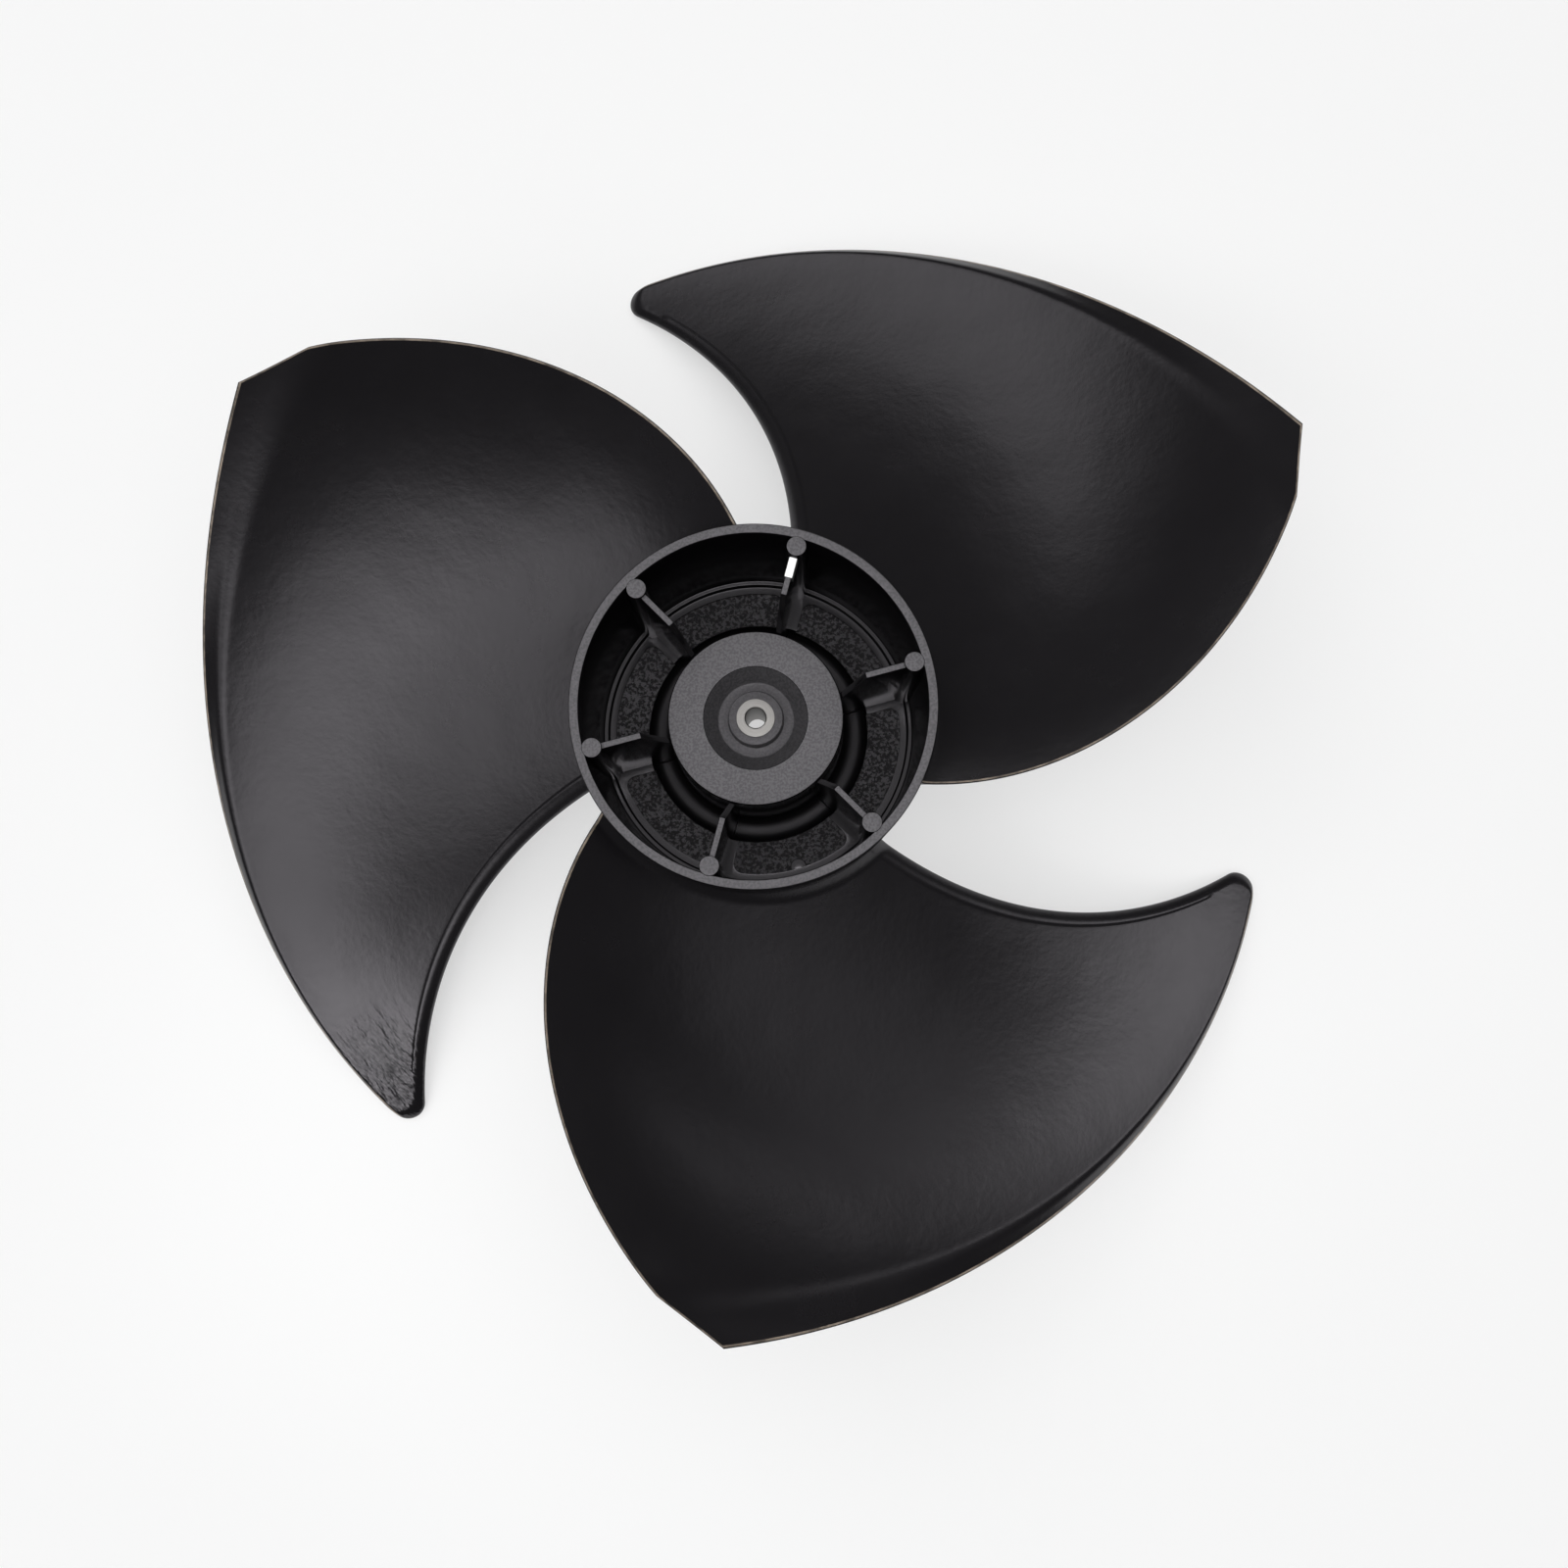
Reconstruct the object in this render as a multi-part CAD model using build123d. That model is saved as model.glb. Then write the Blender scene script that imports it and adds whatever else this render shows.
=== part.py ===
from build123d import *
import os
from math import cos, hypot, pi, radians, sin

# Propeller fan wheel of an air conditioner's outdoor unit, in millimetres.
# +Z runs along the motor shaft towards the air outlet, and z = 0 is the end of the
# bush that seats on the shaft's shoulder. The hub is a cup that opens upwards.

# Wheel
fan_radius = 235.0
blade_count = 3

# Hub cup
hub_radius = 69.0
hub_draft = 1.2
hub_corner = 3.0
rim_height = 58.0
rim_width = 3.8
rim_edge_break = 0.5
floor_drop = 68.0
floor_thickness = 5.5
wall_step_width = 2.0
wall_step_height = 2.5

# Ribs inside the cup, each with a round post that stands just proud of the rim
rib_count = 6
rib_first_angle = 15.0
rib_thickness = 2.4
rib_drop = 1.5
rib_shoulder_radius = 43.5
rib_foot_drop = 1.0
post_radius = 3.8
post_cover = 1.8
post_proud = 0.3

# Shallow pocket in the cup's floor between each two ribs
pocket_outer_radius = 59.0
pocket_depth = 2.0
pocket_corner = 4.0
pocket_rib_margin = 3.0

# Moat around the column, and the hollow column that carries the shaft boss
moat_outer_radius = 45.5
moat_depth = 7.0
moat_corner = 4.0
column_radius = 34.5
column_draft = 1.0
column_drop = 30.0
column_wall = 3.5
column_edge_break = 0.8
dish_radius = 20.6
dish_floor_radius = 15.0
dish_depth = 6.0

# Shaft boss, and the metal bush moulded into it
boss_radius = 10.8
bush_radius = 7.6
bush_length = 28.0
bush_proud = 0.4
bush_groove_width = 6.0
bush_groove_depth = 0.8
bush_chamfer = 0.4
shaft_radius = 4.0

# Blade in plan: angles of its edges where they leave the hub, and how far they turn
leading_root_angle = 78.6
leading_turn = 30.4
leading_bow = 2.5
trailing_root_angle = -25.0
trailing_turn = 51.5
trailing_bow = -0.1
tip_round = 8.0
corner_cut_radial = 18.0
corner_cut_angle = 1.0

# Blade in height: drops below the rim's plane, and the arch of its section
leading_root_drop = 66.0
leading_tip_drop = 150.2
trailing_root_drop = 5.5
trailing_rise = 9.8
root_camber = 8.0
tip_camber = 17.8
camber_bias = 0.3

# Outer band of the blade, bent away from the outlet side
lip_drop = 6.5
lip_width_leading = 6.0
lip_width_trailing = 20.0
lip_bend_share = 0.35

# Blade thickness along the shaft, its rounded nose, and the blend into the hub's wall
leading_thickness = 6.4
trailing_thickness = 1.8
nose_round = 2.4
nose_reach = 6.0
root_blend = 4.5
root_blend_reach = 4.0

# Balance clip of sprung steel sheet, pushed down over one rib beside its post
clip_rib = 1
clip_sheet = 0.5
clip_length = 7.6
clip_leg = 6.0
clip_post_gap = 0.5

# Depth by which ribs, posts and blades run into what they are moulded onto
bite = 1.0

# Heights and radii that follow from the sizes above
floor_height = rim_height - floor_drop
hub_bottom = floor_height - floor_thickness
moat_floor = floor_height - moat_depth
nose_bottom = moat_floor - floor_thickness
nose_radius = moat_outer_radius + floor_thickness
column_top = rim_height - column_drop
dish_floor = column_top - dish_depth
wall_foot_radius = hub_radius - hub_draft - rim_width
wall_middle_radius = hub_radius - hub_draft - rim_width / 2
post_centre_radius = hub_radius - hub_draft - post_cover - post_radius
rib_top = rim_height - rib_drop


def polar(radius, angle, height=0.0):
    """Point at a radius and an angle in degrees about the shaft."""
    return Vector(radius * cos(radians(angle)), radius * sin(radians(angle)), height)


def section(points):
    """Half section in the XZ plane, from (radius, height) points."""
    return make_face(Polyline([(r, 0, z) for r, z in points], close=True))


def corner_of(profile, point):
    """The corner of a half section at a (radius, height) point."""
    return profile.vertices().sort_by_distance((point[0], 0, point[1]))[0]


def around(shape, count, first_angle=0.0):
    """Copies of a shape spaced evenly about the shaft."""
    return [Rot(0, 0, first_angle + 360 / count * i) * shape for i in range(count)]


def hub_cup():
    """Cup, moat, hollow column, dish and boss, turned as one section of even wall."""
    rim_outside = (hub_radius, rim_height)
    rim_inside = (hub_radius - rim_width, rim_height)
    outer_corner = (hub_radius - hub_draft, hub_bottom)
    column_edge = (column_radius, column_top)
    moat_inside = (column_radius + column_draft, moat_floor)
    moat_outside = (moat_outer_radius, moat_floor)
    step_radius = wall_foot_radius - wall_step_width
    step_height = floor_height + wall_step_height
    profile = section([
        rim_outside,
        outer_corner,
        (nose_radius, hub_bottom),
        (nose_radius, nose_bottom),
        (column_radius + column_draft - column_wall, nose_bottom),
        (column_radius - column_wall, column_top - column_wall),
        (dish_radius, column_top - column_wall),
        (dish_floor_radius, dish_floor - column_wall),
        (boss_radius, dish_floor - column_wall),
        (boss_radius, bush_proud),
        (0, bush_proud),
        (0, bush_length - bush_proud),
        (boss_radius, bush_length - bush_proud),
        (boss_radius, dish_floor),
        (dish_floor_radius, dish_floor),
        (dish_radius, column_top),
        column_edge,
        moat_inside,
        moat_outside,
        (moat_outer_radius, floor_height),
        (step_radius, floor_height),
        (step_radius, step_height),
        (wall_foot_radius, step_height),
        rim_inside,
    ])
    profile = fillet(corner_of(profile, outer_corner), hub_corner)
    profile = fillet([corner_of(profile, moat_inside), corner_of(profile, moat_outside)], moat_corner)
    profile = chamfer(corner_of(profile, column_edge), column_edge_break)
    profile = chamfer([corner_of(profile, rim_outside), corner_of(profile, rim_inside)], rim_edge_break)
    return revolve(profile, Axis.Z)


def floor_pockets():
    """Sectors between the ribs, with round outer corners, sunk into the cup's floor."""
    ring = Circle(pocket_outer_radius) - Circle(moat_outer_radius - bite)
    border = Rectangle(2 * fan_radius, rib_thickness + 2 * pocket_rib_margin)
    for angle in range(rib_count // 2):
        ring -= Rot(0, 0, rib_first_angle + 360 / rib_count * angle) * border
    outer_corners = ring.vertices().filter_by(
        lambda v: hypot(v.X, v.Y) > (pocket_outer_radius + moat_outer_radius) / 2)
    ring = fillet(outer_corners, pocket_corner)
    return Pos(0, 0, floor_height) * extrude(ring, -pocket_depth)


def rib():
    """Rib from the column to the wall: level near the rim, then steeply down to the column."""
    inner = column_radius - column_wall / 2
    foot = column_top - rib_foot_drop
    profile = section([
        (inner, foot),
        (column_radius, foot),
        (rib_shoulder_radius, rib_top),
        (wall_middle_radius, rib_top),
        (wall_middle_radius, floor_height - pocket_depth - bite),
        (moat_outer_radius, floor_height - pocket_depth - bite),
        (moat_outer_radius, moat_floor - bite),
        (inner, moat_floor - bite),
    ])
    return extrude(profile, rib_thickness / 2, both=True)


def post():
    """Round post at the rib's outer end, from the floor to just above the rim."""
    foot = floor_height - bite
    height = rim_height + post_proud - foot
    return Pos(post_centre_radius, 0, foot) * Cylinder(
        post_radius, height, align=(Align.CENTER, Align.CENTER, Align.MIN))


def span_share(radius):
    """0 where the blade leaves the hub and 1 at the tip circle."""
    return (radius - hub_radius) / (fan_radius - hub_radius)


def leading_angle(radius):
    """Angle of the swept-forward leading edge, in plan."""
    t = span_share(radius)
    return leading_root_angle + leading_turn * t - leading_bow * 4 * t * (1 - t)


def trailing_angle(radius):
    """Angle of the trailing edge, close to an even spiral in plan."""
    t = span_share(radius)
    return trailing_root_angle + trailing_turn * t - trailing_bow * 4 * t * (1 - t)


def lip_width(chord):
    """Width of the bent outer band, which flares towards the trailing edge."""
    return lip_width_leading + (lip_width_trailing - lip_width_leading) * chord ** 2


def middle_height(radius, chord):
    """Height of the blade's mid-surface; chord is 0 at the leading edge and 1 at the trailing edge."""
    t = span_share(radius)
    leading_drop = leading_root_drop + (leading_tip_drop - leading_root_drop) * t
    trailing_drop = trailing_root_drop - trailing_rise * t * (2 - t)
    camber = root_camber + (tip_camber - root_camber) * t
    arch = 4 * chord * (1 - chord) * (1 + camber_bias * (2 * chord - 1))
    past_crease = (radius - fan_radius) / lip_width(chord) + 1
    if past_crease > lip_bend_share:
        bend = past_crease
    elif past_crease > -lip_bend_share:
        bend = (past_crease + lip_bend_share) ** 2 / (4 * lip_bend_share)
    else:
        bend = 0.0
    lip = lip_drop * (1 - (1 - chord) ** 3) * bend
    drop = leading_drop + (trailing_drop - leading_drop) * chord
    return rim_height - drop - camber * arch - lip


def chord_length(radius):
    """Length of the blade's section in plan, along the circle of that radius."""
    return radius * radians(leading_angle(radius) - trailing_angle(radius))


def thickness(radius, chord):
    """Thickness along the shaft: thin at the back, rounded at the nose, swollen at the root."""
    taper = (leading_thickness - trailing_thickness) * max(0.0, 1 - chord) ** 1.5
    nose = max(0.0, 1 - chord * chord_length(radius) / nose_reach)
    root_share = (radius - wall_foot_radius) / (hub_radius + root_blend_reach - wall_foot_radius)
    swell = root_blend * (1 + cos(pi * min(1.0, max(0.0, root_share)))) / 2
    return trailing_thickness + taper - 2 * nose_round * nose ** 2 + 2 * swell


def chord_grid(radius):
    """Chord shares at which the skin is set out: close together round the nose, then even."""
    margin = 0.05
    even_steps = 13
    nose = [step * nose_reach / chord_length(radius) for step in (-0.7, 0.0, 0.3, 0.65, 1.0, 1.7, 3.0)]
    even = [nose[-1] + (1 + margin - nose[-1]) * i / even_steps for i in range(1, even_steps + 1)]
    return nose + even


def radius_grid(chord):
    """Radii at which the skin is set out: close together at the root and at the lip's bend."""
    even_steps = 9
    root_end = hub_radius + root_blend_reach
    root_width = root_end - wall_foot_radius
    root = [wall_foot_radius + root_width * share for share in (0, 0.2, 0.4, 0.6, 0.8, 1.0)]
    root.append(root_end + root_blend_reach)
    crease = fan_radius - lip_width(chord)
    half_bend = lip_width(chord) * lip_bend_share
    bend = [crease + half_bend * step for step in (-2.0, -1.0, -0.5, 0.0, 0.5, 1.0)]
    even = [root[-1] + (bend[0] - root[-1]) * i / even_steps for i in range(1, even_steps)]
    return root + even + bend + [(bend[-1] + fan_radius) / 2, fan_radius + 2 * bite]


def blade_face(side):
    """Skin lofted across radial curves: side is 1 for the outlet side and -1 for the inlet side."""
    curves = []
    for column, tip_chord in enumerate(chord_grid(fan_radius)):
        points = []
        for radius in radius_grid(tip_chord):
            chord = chord_grid(radius)[column]
            leading = leading_angle(radius)
            angle = leading + (trailing_angle(radius) - leading) * chord
            height = middle_height(radius, chord) + side * thickness(radius, chord) / 2
            points.append(polar(radius, angle, height))
        curves.append(Wire([Spline(points)]))
    return Shell.make_loft(curves).face()


def blade_plan():
    """Outline of a blade seen along the shaft, from inside the hub's wall to the tip circle."""
    edge_points = 8
    root = wall_middle_radius
    cut_radius = fan_radius - corner_cut_radial
    cut_angle = trailing_angle(fan_radius) + corner_cut_angle
    leading_radii = [root + (fan_radius - root) * i / (edge_points - 1) for i in range(edge_points)]
    trailing_radii = [cut_radius + (root - cut_radius) * i / (edge_points - 1) for i in range(edge_points)]
    leading = Spline([polar(r, leading_angle(r)) for r in leading_radii])
    trailing = Spline([polar(r, trailing_angle(r)) for r in trailing_radii])
    outer_middle = polar(fan_radius, (leading_angle(fan_radius) + cut_angle) / 2)
    outer = ThreePointArc(leading @ 1, outer_middle, polar(fan_radius, cut_angle))
    corner = Line(outer @ 1, trailing @ 0)
    root_angle = (leading_angle(root) + trailing_angle(root)) / 2
    inner = ThreePointArc(trailing @ 1, polar(root, root_angle), leading @ 0)
    return make_face([leading, outer, corner, trailing, inner])


def blade():
    """Plan outline raised along the shaft and trimmed between the outlet and inlet skins."""
    low = rim_height - leading_tip_drop - 4 * leading_thickness
    high = rim_height + 2 * (trailing_rise + leading_thickness)
    blank = Pos(0, 0, low) * extrude(blade_plan(), high - low)
    below_outlet = blank.split(blade_face(1), Keep.ALL).sort_by(Axis.Z)[0]
    slab = below_outlet.split(blade_face(-1), Keep.ALL).sort_by(Axis.Z)[-1]
    tip = polar(fan_radius, leading_angle(fan_radius), (low + high) / 2)
    tip_edge = blank.edges().filter_by(Axis.Z).sort_by_distance(tip)[0]
    return slab & fillet(tip_edge, tip_round)


def bush_blank():
    """Outside of the bush, with the waist that the plastic grips."""
    waist = bush_radius - bush_groove_depth
    groove_low = (bush_length - bush_groove_width) / 2
    groove_high = (bush_length + bush_groove_width) / 2
    return revolve(section([
        (0, 0),
        (bush_radius, 0),
        (bush_radius, groove_low),
        (waist, groove_low + bush_groove_depth),
        (waist, groove_high - bush_groove_depth),
        (bush_radius, groove_high),
        (bush_radius, bush_length),
        (0, bush_length),
    ]), Axis.Z)


def shaft_bush():
    """Turned metal bush with the shaft bore, broken at the mouth on the nut's side."""
    bore = Cylinder(shaft_radius, bush_length, align=(Align.CENTER, Align.CENTER, Align.MIN))
    bush = bush_blank() - bore
    mouth = bush.faces().sort_by(Axis.Z)[-1].edges().sort_by(SortBy.RADIUS)[0]
    return chamfer(mouth, bush_chamfer)


def fan_wheel():
    """The whole moulding, less the room that the bush takes."""
    wheel = hub_cup() - floor_pockets()
    wheel += around(blade(), blade_count)
    wheel += around(rib(), rib_count, rib_first_angle)
    wheel += around(post(), rib_count, rib_first_angle)
    return wheel - bush_blank()


def balance_clip():
    """Folded strip astride the rib, its bridge on the rib's top and its legs on the rib's sides."""
    outer_end = post_centre_radius - post_radius - clip_post_gap
    width = rib_thickness + 2 * clip_sheet
    height = clip_leg + clip_sheet
    corner = (Align.MAX, Align.CENTER, Align.MIN)
    strip = Pos(outer_end, 0, rib_top - clip_leg) * Box(clip_length, width, height, align=corner)
    strip = fillet(strip.edges().filter_by(Axis.X).group_by(Axis.Z)[-1], clip_sheet)
    strip -= Pos(outer_end, 0, rib_top - clip_leg) * Box(clip_length, rib_thickness, clip_leg, align=corner)
    return Rot(0, 0, rib_first_angle + 360 / rib_count * clip_rib) * strip


os.makedirs("parts", exist_ok=True)
export_step(fan_wheel(), "parts/fan_wheel.step")
export_step(shaft_bush(), "parts/shaft_bush.step")
export_step(balance_clip(), "parts/balance_clip.step")
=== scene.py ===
from math import atan2, cos, degrees, hypot, pi, radians, sin, sqrt, tan

import bmesh
import bpy
from mathutils import Matrix, Vector


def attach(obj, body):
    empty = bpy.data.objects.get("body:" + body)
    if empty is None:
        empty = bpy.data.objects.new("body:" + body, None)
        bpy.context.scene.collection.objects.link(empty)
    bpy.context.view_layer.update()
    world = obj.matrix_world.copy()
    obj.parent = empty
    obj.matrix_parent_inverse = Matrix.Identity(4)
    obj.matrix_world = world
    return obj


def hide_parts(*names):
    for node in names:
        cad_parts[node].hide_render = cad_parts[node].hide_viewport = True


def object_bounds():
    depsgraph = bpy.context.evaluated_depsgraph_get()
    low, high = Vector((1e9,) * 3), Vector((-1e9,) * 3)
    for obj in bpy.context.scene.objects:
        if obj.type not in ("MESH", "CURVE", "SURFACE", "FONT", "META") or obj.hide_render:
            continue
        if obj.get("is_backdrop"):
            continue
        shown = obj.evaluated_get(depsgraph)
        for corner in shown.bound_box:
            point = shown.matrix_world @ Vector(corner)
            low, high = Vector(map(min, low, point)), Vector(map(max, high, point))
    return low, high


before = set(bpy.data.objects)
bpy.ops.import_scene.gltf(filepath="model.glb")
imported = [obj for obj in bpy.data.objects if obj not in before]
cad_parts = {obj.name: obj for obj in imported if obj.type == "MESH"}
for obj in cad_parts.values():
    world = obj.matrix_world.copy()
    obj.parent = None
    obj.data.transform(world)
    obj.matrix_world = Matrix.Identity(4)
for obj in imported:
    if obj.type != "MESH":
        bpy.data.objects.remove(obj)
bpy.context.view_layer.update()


# Hub cup: the middle of the fan's single black plastic injection moulding. A deep cup with a
# hollow column, a moat around it and a dished boss, turned in one section of even wall, with
# a shallow textured pocket cored into its floor between each two ribs.

mm = 0.001
rib_angles = [15.0 + 60.0 * i for i in range(6)]
rim_height, disc_top, dish_floor, floor_level = 58.0, 28.0, 22.0, -10.0
boss_foot, boss_top, hub_wall = 0.4, 27.6, 3.5
moat_radius, dish_radius, boss_radius, bush_radius = 45.5, 20.6, 10.8, 7.6
hub_corners = [
    (69.0, rim_height, 0.6),
    (67.8, -15.5, 3.0),
    (51.0, -15.5, 1.0),
    (51.0, -22.5, 0.8),
    (32.0, -22.5, 0.8),
    (31.0, disc_top - hub_wall, 1.5),
    (dish_radius, disc_top - hub_wall, 1.0),
    (15.0, dish_floor - hub_wall, 1.0),
    (boss_radius, dish_floor - hub_wall, 1.0),
    (boss_radius, boss_foot, 0.4),
    (bush_radius, boss_foot, 0.0),
    (bush_radius, boss_top, 0.0),
    (boss_radius, boss_top, 0.5),
    (boss_radius, dish_floor, 0.6),
    (15.0, dish_floor, 1.2),
    (dish_radius, disc_top, 0.5),
    (34.5, disc_top, 0.8),
    (35.5, -17.0, 4.0),
    (moat_radius, -17.0, 4.0),
    (moat_radius, floor_level, 0.6),
    (62.0, floor_level, 0.6),
    (62.0, -7.5, 0.5),
    (64.0, -7.5, 0.6),
    (65.2, rim_height, 0.6),
]


def softened(corners, steps=4):
    """Closed outline of (across, up) points from corners of (across, up, rounding)."""
    line = []
    for i, (x, y, rounding) in enumerate(corners):
        corner = Vector((x, y))
        before = Vector(corners[i - 1][:2]) - corner
        after = Vector(corners[(i + 1) % len(corners)][:2]) - corner
        half_angle = before.angle(after) / 2
        if rounding == 0 or half_angle > radians(88):
            line.append((x, y))
            continue
        back = rounding / tan(half_angle)
        middle = (before.normalized() + after.normalized()).normalized()
        centre = corner + middle * (rounding / sin(half_angle))
        start = corner + before.normalized() * back - centre
        end = corner + after.normalized() * back - centre
        turn = start.angle_signed(end)
        for step in range(steps + 1):
            arm = Matrix.Rotation(-turn * step / steps, 2) @ start
            line.append(tuple(centre + arm))
    return line


def turned(name, corners, sides):
    """Solid of revolution about the shaft from a half section that keeps clear of the axis."""
    line = softened(corners)
    shape = bmesh.new()
    rings = []
    for i in range(sides):
        a = 2 * pi * i / sides
        rings.append([shape.verts.new((r * cos(a) * mm, r * sin(a) * mm, z * mm)) for r, z in line])
    for i in range(sides):
        here, there = rings[i], rings[(i + 1) % sides]
        for j in range(len(line)):
            k = (j + 1) % len(line)
            shape.faces.new((here[j], there[j], there[k], here[k]))
    return moulded(name, shape, 0.0)


def smoothed(mesh):
    """Shades a mesh smooth, apart from its creases."""
    mesh.shade_smooth()
    mesh.set_sharp_from_angle(angle=radians(35))


def moulded(name, shape, edge_rounding):
    """Finished object from a closed shape: crisp edges are broken and the rest is smooth."""
    bmesh.ops.recalc_face_normals(shape, faces=shape.faces)
    if edge_rounding:
        crisp = [e for e in shape.edges if e.is_manifold and e.calc_face_angle() > radians(40)]
        bmesh.ops.bevel(shape, geom=crisp, offset=edge_rounding * mm, offset_type="OFFSET", segments=3,
                        profile=0.5, affect="EDGES", clamp_overlap=True)
    mesh = bpy.data.meshes.new(name)
    shape.to_mesh(mesh)
    shape.free()
    smoothed(mesh)
    made = bpy.data.objects.new(name, mesh)
    bpy.context.scene.collection.objects.link(made)
    return made


def prism(shape, outline, low, high, place):
    """Adds a prism to a shape from an outline of (x, y) points, between two heights, set by a matrix."""
    floor = [shape.verts.new(place @ Vector((x * mm, y * mm, low * mm))) for x, y in outline]
    roof = [shape.verts.new(place @ Vector((x * mm, y * mm, high * mm))) for x, y in outline]
    shape.faces.new(list(reversed(floor)))
    shape.faces.new(roof)
    for i in range(len(outline)):
        k = (i + 1) % len(outline)
        shape.faces.new((floor[i], floor[k], roof[k], roof[i]))


def carved(body, cutter):
    """Takes the cutter's room out of a body, and leaves no face with many corners or without area."""
    cut = body.modifiers.new("cut", "BOOLEAN")
    cut.operation = "DIFFERENCE"
    cut.solver = "EXACT"
    cut.object = cutter
    depsgraph = bpy.context.evaluated_depsgraph_get()
    mesh = bpy.data.meshes.new_from_object(body.evaluated_get(depsgraph))
    body.modifiers.clear()
    body.data = mesh
    bpy.data.objects.remove(cutter)
    shape = bmesh.new()
    shape.from_mesh(mesh)
    bmesh.ops.triangulate(shape, faces=[f for f in shape.faces if len(f.verts) > 4], ngon_method="EAR_CLIP")
    bmesh.ops.dissolve_degenerate(shape, dist=1e-6, edges=shape.edges)
    shape.to_mesh(mesh)
    shape.free()
    smoothed(mesh)


hub = turned("hub_cup", hub_corners, 240)
pocket_outer, pocket_inner, pocket_side, pocket_corner = 59.0, 44.0, 4.2, 4.0
pocket_floor, cutter_top = floor_level - 2.0, floor_level + 5.0
corner_steps, arc_steps, bay = 6, 24, radians(60)
corner_up = pocket_side + pocket_corner
corner_out = sqrt((pocket_outer - pocket_corner) ** 2 - corner_up ** 2)
first = atan2(corner_up, corner_out)
near_side = [(sqrt(pocket_inner ** 2 - pocket_side ** 2), pocket_side)]
for step in range(corner_steps + 1):
    a = -pi / 2 + (first + pi / 2) * step / corner_steps
    near_side.append((corner_out + pocket_corner * cos(a), corner_up + pocket_corner * sin(a)))
far_side = []
for step in range(1, arc_steps):
    a = first + (bay - 2 * first) * step / arc_steps
    far_side.append((pocket_outer * cos(a), pocket_outer * sin(a)))
for x, y in reversed(near_side):
    a = bay - atan2(y, x)
    far_side.append((hypot(x, y) * cos(a), hypot(x, y) * sin(a)))
pocket_cutters = bmesh.new()
for angle in rib_angles:
    turn = Matrix.Rotation(radians(angle), 4, "Z")
    prism(pocket_cutters, near_side + far_side, pocket_floor, cutter_top, turn)
carved(hub, moulded("pocket_cutters", pocket_cutters, 0.0))


class Shade:
    """A shader socket that can be used in sums, and that makes further nodes beside it."""

    def __init__(self, tree, socket=None):
        self.tree = tree
        self.socket = socket

    def node(self, kind, settings, sockets, output=0):
        """New node of a kind: its settings are set first, then its sockets take values or links."""
        made = self.tree.nodes.new(kind)
        for name, value in settings.items():
            setattr(made, name, value)
        for name, value in sockets.items():
            if isinstance(value, Shade):
                self.tree.links.new(value.socket, made.inputs[name])
            else:
                made.inputs[name].default_value = value
        return Shade(self.tree, made.outputs[output])

    def sum(self, operation, first, second):
        return self.node("ShaderNodeMath", {"operation": operation}, {0: first, 1: second})

    def __add__(self, other):
        return self.sum("ADD", self, other)

    __radd__ = __add__

    def __sub__(self, other):
        return self.sum("SUBTRACT", self, other)

    def __rsub__(self, other):
        return self.sum("SUBTRACT", other, self)

    def __mul__(self, other):
        return self.sum("MULTIPLY", self, other)

    __rmul__ = __mul__

    def __pow__(self, other):
        return self.sum("POWER", self, other)


def surface(name):
    """New material, a starting point for its nodes, the place on the object and the main shader."""
    material = bpy.data.materials.new(name)
    material.use_nodes = True
    start = Shade(material.node_tree)
    place = start.node("ShaderNodeTexCoord", {}, {}, "Object")
    shader = material.node_tree.nodes["Principled BSDF"]
    return material, start, place, shader


def axes(vector):
    """The three parts of a vector, apart."""
    return [vector.node("ShaderNodeSeparateXYZ", {}, {"Vector": vector}, axis) for axis in "XYZ"]


def rise(value, low, high):
    """0 below a low value and 1 above a high one, with a soft step between."""
    return value.node("ShaderNodeMapRange", {"interpolation_type": "SMOOTHSTEP"},
                      {"Value": value, "From Min": low, "From Max": high})


def grain(place, scale, detail=2.0, roughness=0.5):
    """Even cloudy noise over the surface, in lumps per metre."""
    return place.node("ShaderNodeTexNoise", {}, {"Vector": place, "Scale": scale, "Detail": detail,
                                                "Roughness": roughness})


def tinted(share, low, high):
    """Colour between two, by a share."""
    return share.node("ShaderNodeMix", {"data_type": "RGBA"},
                      {"Factor": share, "A": (*low, 1), "B": (*high, 1)}, "Result")


def feed(shader, socket, value):
    """Links a worked-out value to one of a shader's sockets."""
    shader.id_data.links.new(value.socket, shader.inputs[socket])


def emboss(shader, height, strength, distance):
    """Fine relief on a shader, from a height and the distance in metres that it stands for."""
    feed(shader, "Normal", height.node("ShaderNodeBump", {}, {"Height": height, "Strength": strength,
                                                             "Distance": distance}, "Normal"))


hub_plastic, start, place, shader = surface("hub_plastic")
x, y, z = axes(place)
radius = (x * x + y * y) ** 0.5
facing = axes(start.node("ShaderNodeNewGeometry", {}, {}, "Normal"))
upward = rise(facing[2], 0.8, 0.97)
past_dish = rise(radius, (dish_radius - 0.4) * mm, dish_radius * mm)
in_dish = rise(z, (dish_floor - 1.5) * mm, (dish_floor - 0.5) * mm) * (1 - past_dish)
at_disc = rise(z, (disc_top - 0.6) * mm, (disc_top - 0.2) * mm)
on_top = upward * at_disc * (1 - in_dish) + in_dish * 0.42
below_frame = 1 - rise(z, (floor_level - 1.5) * mm, (floor_level - 0.8) * mm)
past_moat = rise(radius, (moat_radius - 0.3) * mm, (moat_radius + 0.3) * mm)
in_pocket = upward * below_frame * past_moat
in_moat = below_frame * (1 - past_moat)
spark = grain(place, 1100.0, 3.0)
pebble = grain(place, 800.0, 4.0, 0.65)
cloud = grain(place, 26.0, 4.0, 0.6)
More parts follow.
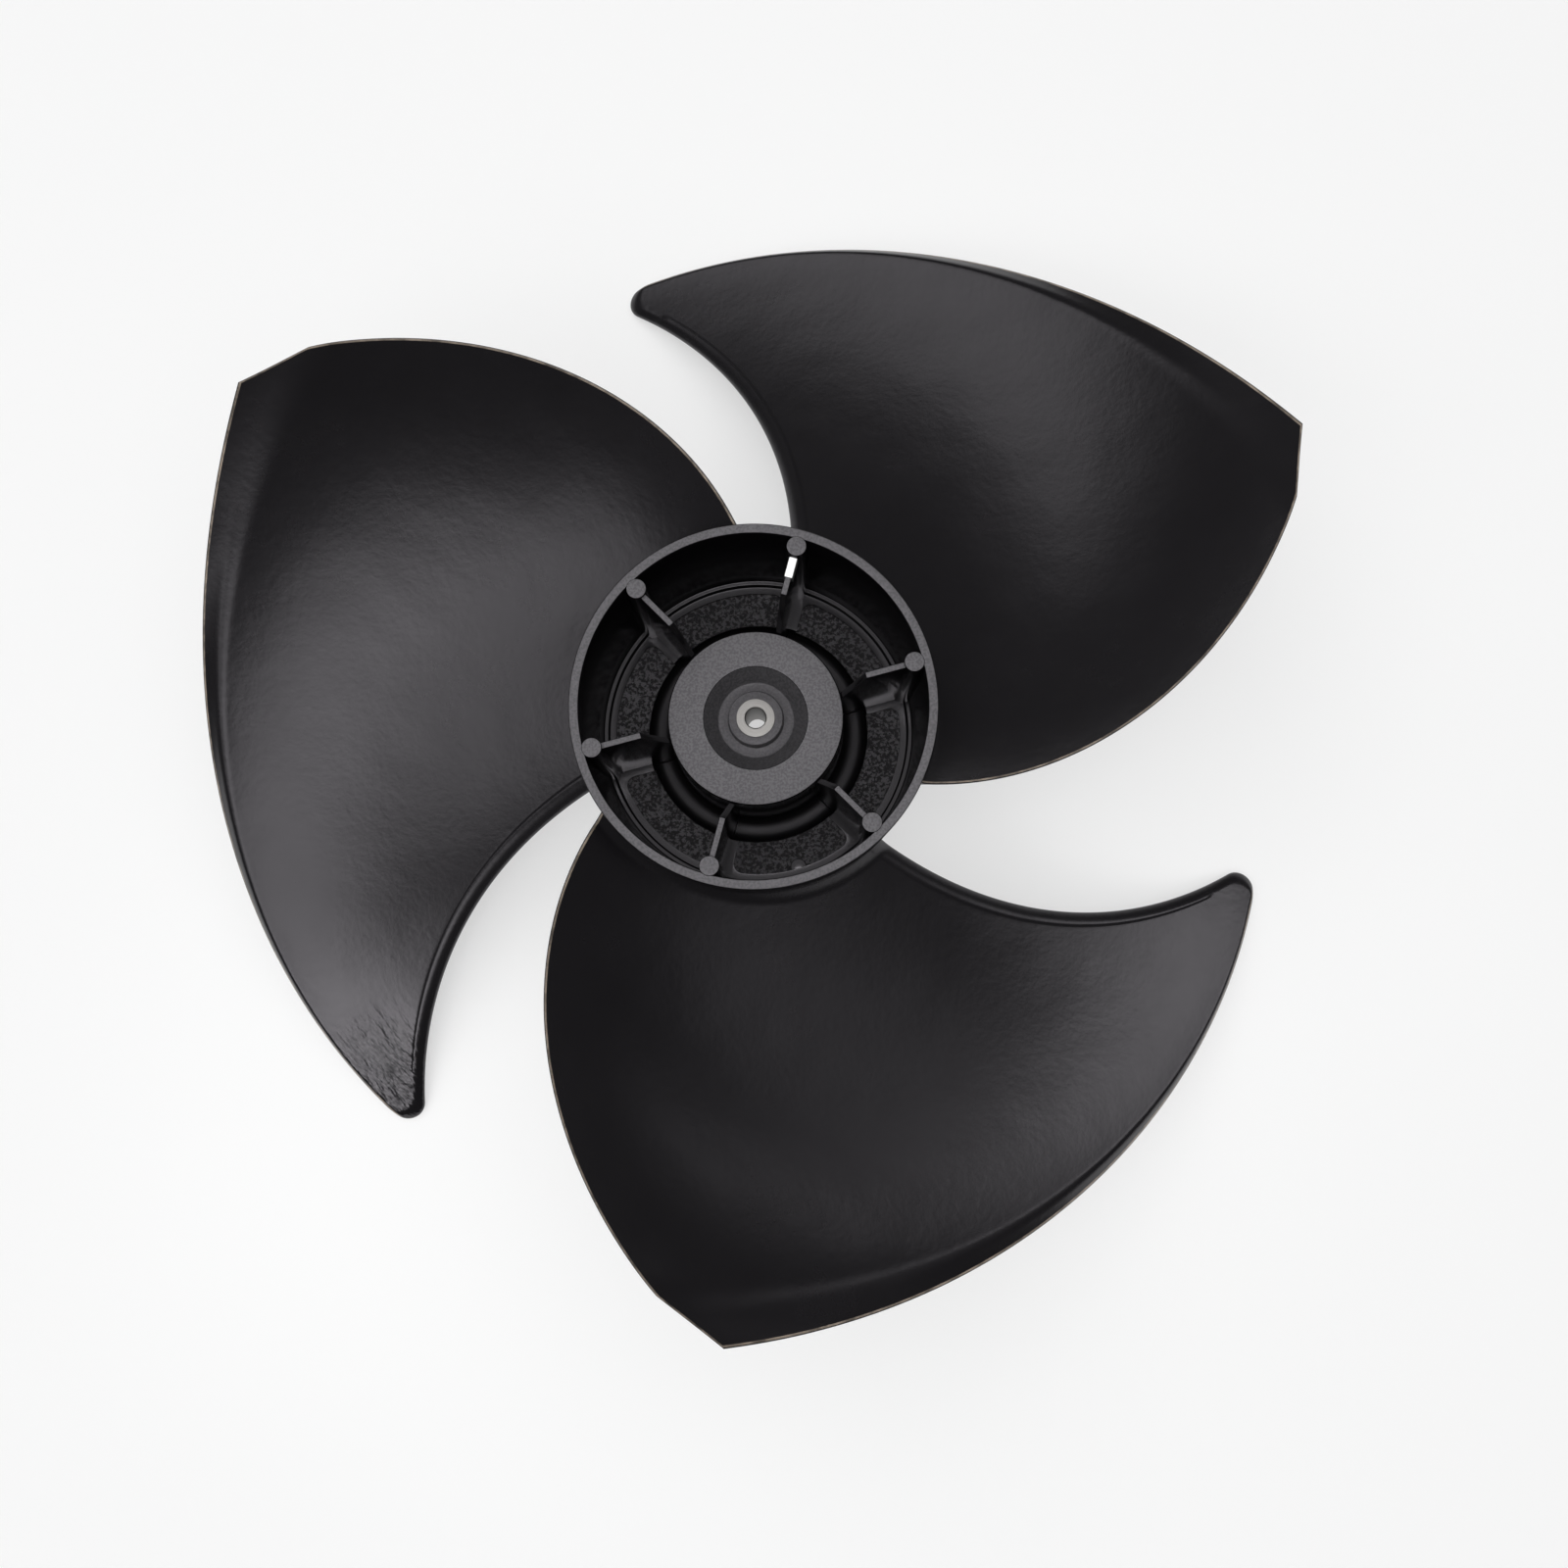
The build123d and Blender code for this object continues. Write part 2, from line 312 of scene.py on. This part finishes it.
pits = rise(pebble, 0.46, 0.56)
fleck = rise(spark, 0.38, 0.62)
pale = on_top * (0.52 + cloud * 0.3 + fleck * 0.36) + in_pocket * pits * (0.15 + cloud * 1.4)
feed(shader, "Base Color", tinted(pale, (0.0036, 0.0033, 0.0038), (0.118, 0.114, 0.121)))
feed(shader, "Roughness", 0.12 + cloud * 0.08 + on_top * 0.35 + in_pocket * 0.25 + in_moat * 0.3)
height = spark * (0.06 + on_top * 0.5) + pebble * in_pocket * 2.5
emboss(shader, height, 0.5, 0.0006)
shader.inputs["IOR"].default_value = 1.5
shader.inputs["Specular IOR Level"].default_value = 0.32
shader.inputs["Specular Tint"].default_value = (0.98, 0.94, 1.0, 1)
hub.data.materials.clear()
hub.data.materials.append(hub_plastic)
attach(hub, "root")
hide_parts("fan_wheel")


# Ribs and posts: six thin walls of the same moulding, from the column out to the cup's wall,
# each level near the rim and then steeply down to the column, with a round post at its outer
# end whose flat top stands just above the rim. One floor pocket keeps an ejector's round pad.

rib_thickness, rib_edge = 2.4, 0.35
rib_outline = [
    (32.8, -18.0),
    (32.8, disc_top - 1.0),
    (34.5, disc_top - 1.0),
    (43.5, rim_height - 1.5),
    (65.0, rim_height - 1.5),
    (65.0, -13.0),
    (moat_radius, -13.0),
    (moat_radius, -18.0),
]
ribs = bmesh.new()
for angle in rib_angles:
    upright = Matrix.Rotation(radians(angle), 4, "Z") @ Matrix.Rotation(radians(90), 4, "X")
    prism(ribs, rib_outline, -rib_thickness / 2, rib_thickness / 2, upright)
ribs = moulded("ribs", ribs, rib_edge)


def disc(middle, radius, sides):
    """Round outline of (x, y) points, with its middle out along x."""
    turns = [2 * pi * i / sides for i in range(sides)]
    return [(middle + radius * cos(a), radius * sin(a)) for a in turns]


post_middle, post_radius, post_foot, post_top = 62.2, 3.8, -11.0, rim_height + 0.3
pad_middle, pad_radius, pad_foot, pad_top, pad_angle = 58.2, 3.3, -12.5, -10.1, 286.7
posts = bmesh.new()
for angle in rib_angles:
    turn = Matrix.Rotation(radians(angle), 4, "Z")
    prism(posts, disc(post_middle, post_radius, 48), post_foot, post_top, turn)
turn = Matrix.Rotation(radians(pad_angle), 4, "Z")
prism(posts, disc(pad_middle, pad_radius, 32), pad_foot, pad_top, turn)
posts = moulded("rib_posts", posts, rib_edge)
for piece in (ribs, posts):
    piece.data.materials.append(hub_plastic)
    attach(piece, "root")
    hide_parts("fan_wheel")


# Blades: three broad forward-swept blades of the same moulding, pulled along the shaft. Thick and
# round at the leading edge, thin at the trailing edge, swollen where they run into the hub, and
# with an outer band that is bent away from the outlet. A pale line is painted on their upper side,
# just in from the trailing and outer edges, as a highlight.

hub_radius, fan_radius = 69.0, 235.0
wall_foot, wall_middle = 64.0, 65.9
leading_root_angle, leading_turn, leading_bow = 78.6, 30.4, 2.5
trailing_root_angle, trailing_turn, trailing_bow = -25.0, 51.5, -0.1
tip_round, cut_radial, cut_angle = 8.0, 18.0, 1.0
leading_root_drop, leading_tip_drop = 66.0, 150.2
trailing_root_drop, trailing_rise = 5.5, 9.8
root_camber, tip_camber, camber_bias = 8.0, 17.8, 0.3
lip_drop, lip_width_leading, lip_width_trailing = 6.5, 1.5, 20.0
lip_growth, lip_bend_share = 2.2, 0.35
leading_thickness, trailing_thickness, taper_power = 6.4, 1.8, 1.5
nose_reach, nose_round, edge_round = 6.0, 2.4, 0.75
root_swell, swell_reach = 4.5, 4.0
bead_height, bead_width, bead_slope = 0.4, 7.4, 1.2
bead_end, bead_run_out = 215.0, 2.0
# Band of the painted edge highlight, in millimetres in from the trailing and outer edges.
highlight_from, highlight_to = 0.4, 1.3
blade_turns, streaked_turn = (0.0, 120.0, 240.0), 120.0


def span(r):
    return (r - hub_radius) / (fan_radius - hub_radius)


def bow(r):
    return 4 * span(r) * (1 - span(r))


def leading(r):
    return leading_root_angle + leading_turn * span(r) - leading_bow * bow(r)


def trailing(r):
    return trailing_root_angle + trailing_turn * span(r) - trailing_bow * bow(r)


def chord_length(r):
    return r * radians(leading(r) - trailing(r))


def middle_height(r, c):
    t = span(r)
    leading_drop = leading_root_drop + (leading_tip_drop - leading_root_drop) * t
    trailing_drop = trailing_root_drop - trailing_rise * t * (2 - t)
    camber = root_camber + (tip_camber - root_camber) * t
    arch = 4 * c * (1 - c) * (1 + camber_bias * (2 * c - 1))
    lip_width = lip_width_leading + (lip_width_trailing - lip_width_leading) * max(0.0, c) ** lip_growth
    past = (r - fan_radius) / lip_width + 1
    bend = max(0.0, past + lip_bend_share) ** 2 / (4 * lip_bend_share)
    if past > lip_bend_share:
        bend = past
    lip = lip_drop * (1 - (1 - c) ** 3) * bend
    return rim_height - leading_drop - (trailing_drop - leading_drop) * c - camber * arch - lip


def thickness(r, c):
    nose = max(0.0, 1 - c * chord_length(r) / nose_reach)
    share = min(1.0, max(0.0, (r - wall_foot) / (hub_radius + swell_reach - wall_foot)))
    swell = root_swell * (1 + cos(pi * share)) / 2
    taper = (leading_thickness - trailing_thickness) * max(0.0, 1 - c) ** taper_power
    return trailing_thickness + taper - 2 * nose_round * nose ** 2 + 2 * swell


def bead(r, d):
    """Height of the band along the leading edge, at a distance from it; it stops short of the tip."""
    across = min(1.0, max(0.0, (bead_width - d) / bead_slope))
    along = min(1.0, max(0.0, (bead_end - r) / bead_run_out))
    return bead_height * across ** 2 * (3 - 2 * across) * along


def edge_fall(inset):
    """How far each face sinks towards an edge, at a distance in from it."""
    short = max(0.0, edge_round - inset)
    return edge_round - sqrt(edge_round ** 2 - short ** 2)


def on_circle(r, a):
    return Vector((r * cos(radians(a)), r * sin(radians(a))))


def tip_arc():
    """Middle of the arc that rounds the leading tip, and the radius where it leaves the leading edge."""
    r = fan_radius - tip_round
    low, high = leading(r) - 20, leading(r)
    for _ in range(40):
        a = (low + high) / 2
        gap, touch = min(((on_circle(r, a) - on_circle(q, leading(q))).length, q)
                         for q in [r - 30 + 0.1 * i for i in range(380)])
        if gap > tip_round:
            low = a
        else:
            high = a
    return a, touch


def edge_angles(r, tip_angle, tip_touch):
    """Angles of the two boundaries at a radius, with the leading tip rounded and the corner cut."""
    front, back = leading(r), trailing(r)
    if r > tip_touch:
        middle = fan_radius - tip_round
        swing = min(1.0, (middle ** 2 + r ** 2 - tip_round ** 2) / (2 * middle * r))
        front = tip_angle + degrees(atan2(sqrt(1 - swing ** 2), swing))
    start = fan_radius - cut_radial
    if r > start:
        inner = on_circle(start, trailing(start))
        along = on_circle(fan_radius, trailing(fan_radius) + cut_angle) - inner
        forward = inner.dot(along) / along.length_squared
        share = sqrt(forward ** 2 + (r ** 2 - start ** 2) / along.length_squared) - forward
        point = inner + along * share
        back = degrees(atan2(point.y, point.x))
    return front, back


root_end, middle_end, outer_end = 74.0, 204.0, 226.0
radii = [wall_middle + (root_end - wall_middle) * i / 14 for i in range(15)]
radii += [root_end + (middle_end - root_end) * i / 44 for i in range(1, 45)]
radii += [middle_end + (outer_end - middle_end) * i / 22 for i in range(1, 23)]
radii += [outer_end + (fan_radius - outer_end) * (1 - (1 - i / 16) ** 2) for i in range(1, 17)]
edge_steps = [0.0, 0.03, 0.1, 0.25, 0.5, edge_round, 1.2]
nose_steps = edge_steps + [1.7, 2.4, 3.2, 4.2, 5.3, 6.0, 6.4, 6.8, 7.2, 7.8, 9.0, 11.0]
even_steps = 60
tip_angle, tip_touch = tip_arc()
blades = bmesh.new()
for turn in blade_turns:
    skins = {1: [], -1: []}
    insets, from_rim = [], []
    for r in radii:
        front, back = edge_angles(r, tip_angle, tip_touch)
        arc = r * radians(front - back)
        first, last = nose_steps[-1] / arc, 1 - edge_steps[-1] / arc
        places = [d / arc for d in nose_steps]
        places += [first + (last - first) * i / even_steps for i in range(1, even_steps)]
        places += [1 - d / arc for d in reversed(edge_steps)]
        from_rim.append([min((1 - share) * arc, fan_radius - r) for share in places])
        insets.append([min(share * arc, inset) for share, inset in zip(places, from_rim[-1])])
        for side, rows in skins.items():
            row = []
            for share, inset in zip(places, insets[-1]):
                a = front + (back - front) * share
                c = (a - leading(r)) / (trailing(r) - leading(r))
                half = thickness(r, share * arc / chord_length(r)) / 2 - edge_fall(inset)
                z = middle_height(r, c) + side * half
                if side == 1:
                    z += bead(r, share * arc)
                a = radians(a + turn)
                row.append(blades.verts.new((r * cos(a) * mm, r * sin(a) * mm, z * mm)))
            rows.append(row)
    top, low, rims = skins[1], skins[-1], []
    last = len(places) - 1
    for i in range(len(radii) - 1):
        for j in range(last):
            upper = blades.faces.new((top[i][j], top[i + 1][j], top[i + 1][j + 1], top[i][j + 1]))
            blades.faces.new((low[i][j], low[i][j + 1], low[i + 1][j + 1], low[i + 1][j]))
            # Upper faces just in from the trailing and outer edges get the second material, a painted
            # highlight line.
            corners = from_rim[i][j:j + 2] + from_rim[i + 1][j:j + 2]
            if min(corners) > highlight_from and max(corners) < highlight_to:
                upper.material_index = 1
        rims.append((top[i][0], low[i][0], low[i + 1][0], top[i + 1][0]))
        rims.append((top[i][last], top[i + 1][last], low[i + 1][last], low[i][last]))
    for j in range(last):
        rims.append((top[-1][j], low[-1][j], low[-1][j + 1], top[-1][j + 1]))
        rims.append((top[0][j], top[0][j + 1], low[0][j + 1], low[0][j]))
    for rim in rims:
        blades.faces.new(rim)
blades = moulded("blades", blades, 0.0)

blade_plastic, start, place, shader = surface("blade_plastic")
x, y = axes(place)[:2]
radius = (x * x + y * y) ** 0.5
bearing = place.node("ShaderNodeMath", {"operation": "ARCTAN2"}, {0: y, 1: x})
from_tip = bearing - radians(leading(fan_radius) + streaked_turn - 360.0)
ahead = bearing.node("ShaderNodeMath", {"operation": "COSINE"}, {0: from_tip})
streaked = rise(radius, 0.188, 0.222) * rise(ahead, 0.955, 0.992)
cloud = grain(place, 9.0, 5.0, 0.6)
wisp = grain(place, 60.0, 4.0, 0.7)
speck = rise(grain(place, 900.0, 2.0), 0.72, 0.8)
peel = grain(place, 340.0, 2.0)
flow = place.node("ShaderNodeCombineXYZ", {}, {"X": radius, "Y": bearing * 0.06})
ripple = grain(flow, 260.0, 3.0, 0.55)
tone = cloud * 0.5 + speck * 0.3
feed(shader, "Base Color", tinted(tone, (0.0040, 0.0036, 0.0043), (0.0085, 0.0076, 0.0090)))
feed(shader, "Roughness", 0.18 + cloud * 0.1 + wisp * 0.06 - streaked * 0.1)
sink = grain(place, 15.0, 2.0)
height = peel + wisp * 2.0 + sink * 12.0 + ripple * streaked * 45.0
emboss(shader, height, 0.12, 0.0004)
shader.inputs["IOR"].default_value = 1.5
shader.inputs["Specular Tint"].default_value = (0.98, 0.94, 1.0, 1)

# Painted highlight: a pale brownish line that stands in for light caught by the blades' rounded edges;
# noise breaks it up.
painted_edge_highlight, start, place, shader = surface("painted_edge_highlight")
highlight_break = grain(place, 130.0, 4.0, 0.65)
feed(shader, "Base Color", tinted(rise(highlight_break, 0.25, 0.7), (0.05, 0.042, 0.034), (0.32, 0.262, 0.21)))
feed(shader, "Roughness", 0.3 + highlight_break * 0.2)
blades.data.materials.append(blade_plastic)
blades.data.materials.append(painted_edge_highlight)
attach(blades, "root")
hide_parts("fan_wheel")


# Shaft bush: a turned steel sleeve with the shaft's bore, moulded into the boss and held by the
# waist around its middle. Its upper end, where the nut bears, shows bright turning marks.

bore_radius, waist_radius, bush_length, bore_mouth = 4.0, 6.8, 28.0, 0.4
bush_corners = [
    (bore_radius, 0.0, 0.0),
    (bush_radius, 0.0, 0.2),
    (bush_radius, 11.0, 0.0),
    (waist_radius, 11.8, 0.0),
    (waist_radius, 16.2, 0.0),
    (bush_radius, 17.0, 0.0),
    (bush_radius, bush_length, 0.2),
    (bore_radius + bore_mouth, bush_length, 0.0),
    (bore_radius, bush_length - bore_mouth, 0.0),
]
bush = turned("bush_sleeve", bush_corners, 96)
turned_steel, start, place, shader = surface("turned_steel")
x, y, z = axes(place)
radius = (x * x + y * y) ** 0.5
rings = radius.node("ShaderNodeTexNoise", {"noise_dimensions": "1D"},
                    {"W": radius + z, "Scale": 4200.0, "Detail": 3.0})
feed(shader, "Base Color", tinted(rings, (0.16, 0.155, 0.15), (0.3, 0.29, 0.28)))
feed(shader, "Roughness", 0.34 + rings * 0.2)
emboss(shader, rings, 0.3, 0.0001)
shader.inputs["Metallic"].default_value = 1.0
bush.data.materials.append(turned_steel)
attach(bush, "root")
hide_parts("shaft_bush")


# Balance clip: a folded strip of bright sprung steel, pushed down over one rib beside its post
# after the wheel was balanced.

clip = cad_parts["balance_clip"]
bright_strip, start, place, shader = surface("bright_strip")
smear = grain(place, 700.0, 3.0)
feed(shader, "Base Color", tinted(smear, (0.72, 0.72, 0.71), (0.86, 0.86, 0.85)))
feed(shader, "Roughness", 0.24 + smear * 0.16)
shader.inputs["Metallic"].default_value = 1.0
clip.data.materials.clear()
clip.data.materials.append(bright_strip)


# Studio: a wide pale floor that the leading tips rest on, a large soft box overhead, four around
# it that the blades mirror, a small one by the camera for the edges, and one at each lower tip.

floor = bmesh.new()
reach = 12.0
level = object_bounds()[0].z
for corner in ((-reach, -reach), (reach, -reach), (reach, reach), (-reach, reach)):
    floor.verts.new((*corner, level))
floor.faces.new(floor.verts)
floor = moulded("floor", floor, 0.0)
pale_floor, start, place, shader = surface("pale_floor")
shader.inputs["Base Color"].default_value = (0.92, 0.92, 0.92, 1)
shader.inputs["Roughness"].default_value = 0.9
seen = [start.node("ShaderNodeLightPath", {}, {}, ray) for ray in
        ("Is Camera Ray", "Is Glossy Ray", "Is Transmission Ray")]
white = start.node("ShaderNodeEmission", {}, {"Color": (1, 1, 1, 1), "Strength": 1.0})
paper = Shade(pale_floor.node_tree, shader.outputs["BSDF"])
share = (seen[0] + seen[1] + seen[2]) * 0.55
lit = start.node("ShaderNodeMixShader", {}, {"Fac": share, 1: paper, 2: white})
output = pale_floor.node_tree.nodes["Material Output"]
pale_floor.node_tree.links.new(lit.socket, output.inputs["Surface"])
floor.data.materials.append(pale_floor)
floor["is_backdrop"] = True


def polar(radius, bearing, height):
    """Place at a radius and a bearing in degrees about the shaft, and a height."""
    return Vector((radius * cos(radians(bearing)), radius * sin(radians(bearing)), height))


def soft_box(name, place, aim, width, height, power, spread):
    """Rectangular lamp that faces a point; its width lies level and its spread is in degrees."""
    lamp = bpy.data.lights.new(name, "AREA")
    lamp.shape = "RECTANGLE"
    lamp.size, lamp.size_y, lamp.energy, lamp.spread = width, height, power, radians(spread)
    holder = bpy.data.objects.new(name, lamp)
    holder.location = place
    holder.rotation_euler = (place - Vector(aim)).to_track_quat("Z", "Y").to_euler()
    holder.visible_camera = False
    bpy.context.scene.collection.objects.link(holder)


hub_middle = (0.0, 0.0, 0.0)
left_tip = polar(0.215, -132.0, -0.07)
right_tip = polar(0.20, -32.0, -0.06)
soft_box("overhead", polar(0.14, 90.0, 4.0), hub_middle, 5.8, 5.8, 142.0, 180.0)
soft_box("left", polar(2.80, -151.0, 2.85), hub_middle, 1.35, 1.6, 12.5, 180.0)
soft_box("lower_left", polar(2.41, -117.0, 3.19), hub_middle, 1.7, 1.3, 16.0, 180.0)
soft_box("upper_left", polar(2.8, 134.0, 2.8), hub_middle, 2.8, 1.9, 24.0, 180.0)
soft_box("right", polar(2.73, 5.0, 2.92), hub_middle, 2.5, 1.0, 3.4, 180.0)
soft_box("by_camera", Vector((0.02, -0.1, 0.95)), hub_middle, 0.2, 0.2, 1.0, 180.0)
soft_box("left_tip", polar(0.53, -117.3, 0.25), left_tip, 0.24, 0.18, 0.024, 36.0)
soft_box("right_tip", polar(0.45, 2.0, 0.172), right_tip, 0.14, 0.2, 0.0115, 36.0)
world = bpy.data.worlds.new("studio")
world.use_nodes = True
world.node_tree.nodes["Background"].inputs["Color"].default_value = (1, 1, 1, 1)
world.node_tree.nodes["Background"].inputs["Strength"].default_value = 0.1
bpy.context.scene.world = world
bpy.context.scene.view_settings.view_transform = "Standard"

eye = bpy.data.cameras.new("photo_camera")
eye.sensor_width = 36.0
eye.lens = 34.76
eye.shift_y = 0.03125
camera = bpy.data.objects.new("photo_camera", eye)
camera.location = (0.01755, -0.09741, 0.61446)
camera.rotation_euler = (radians(5.0802), radians(0.623), radians(0.0234))
bpy.context.scene.collection.objects.link(camera)
bpy.context.scene.camera = camera

low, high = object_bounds()
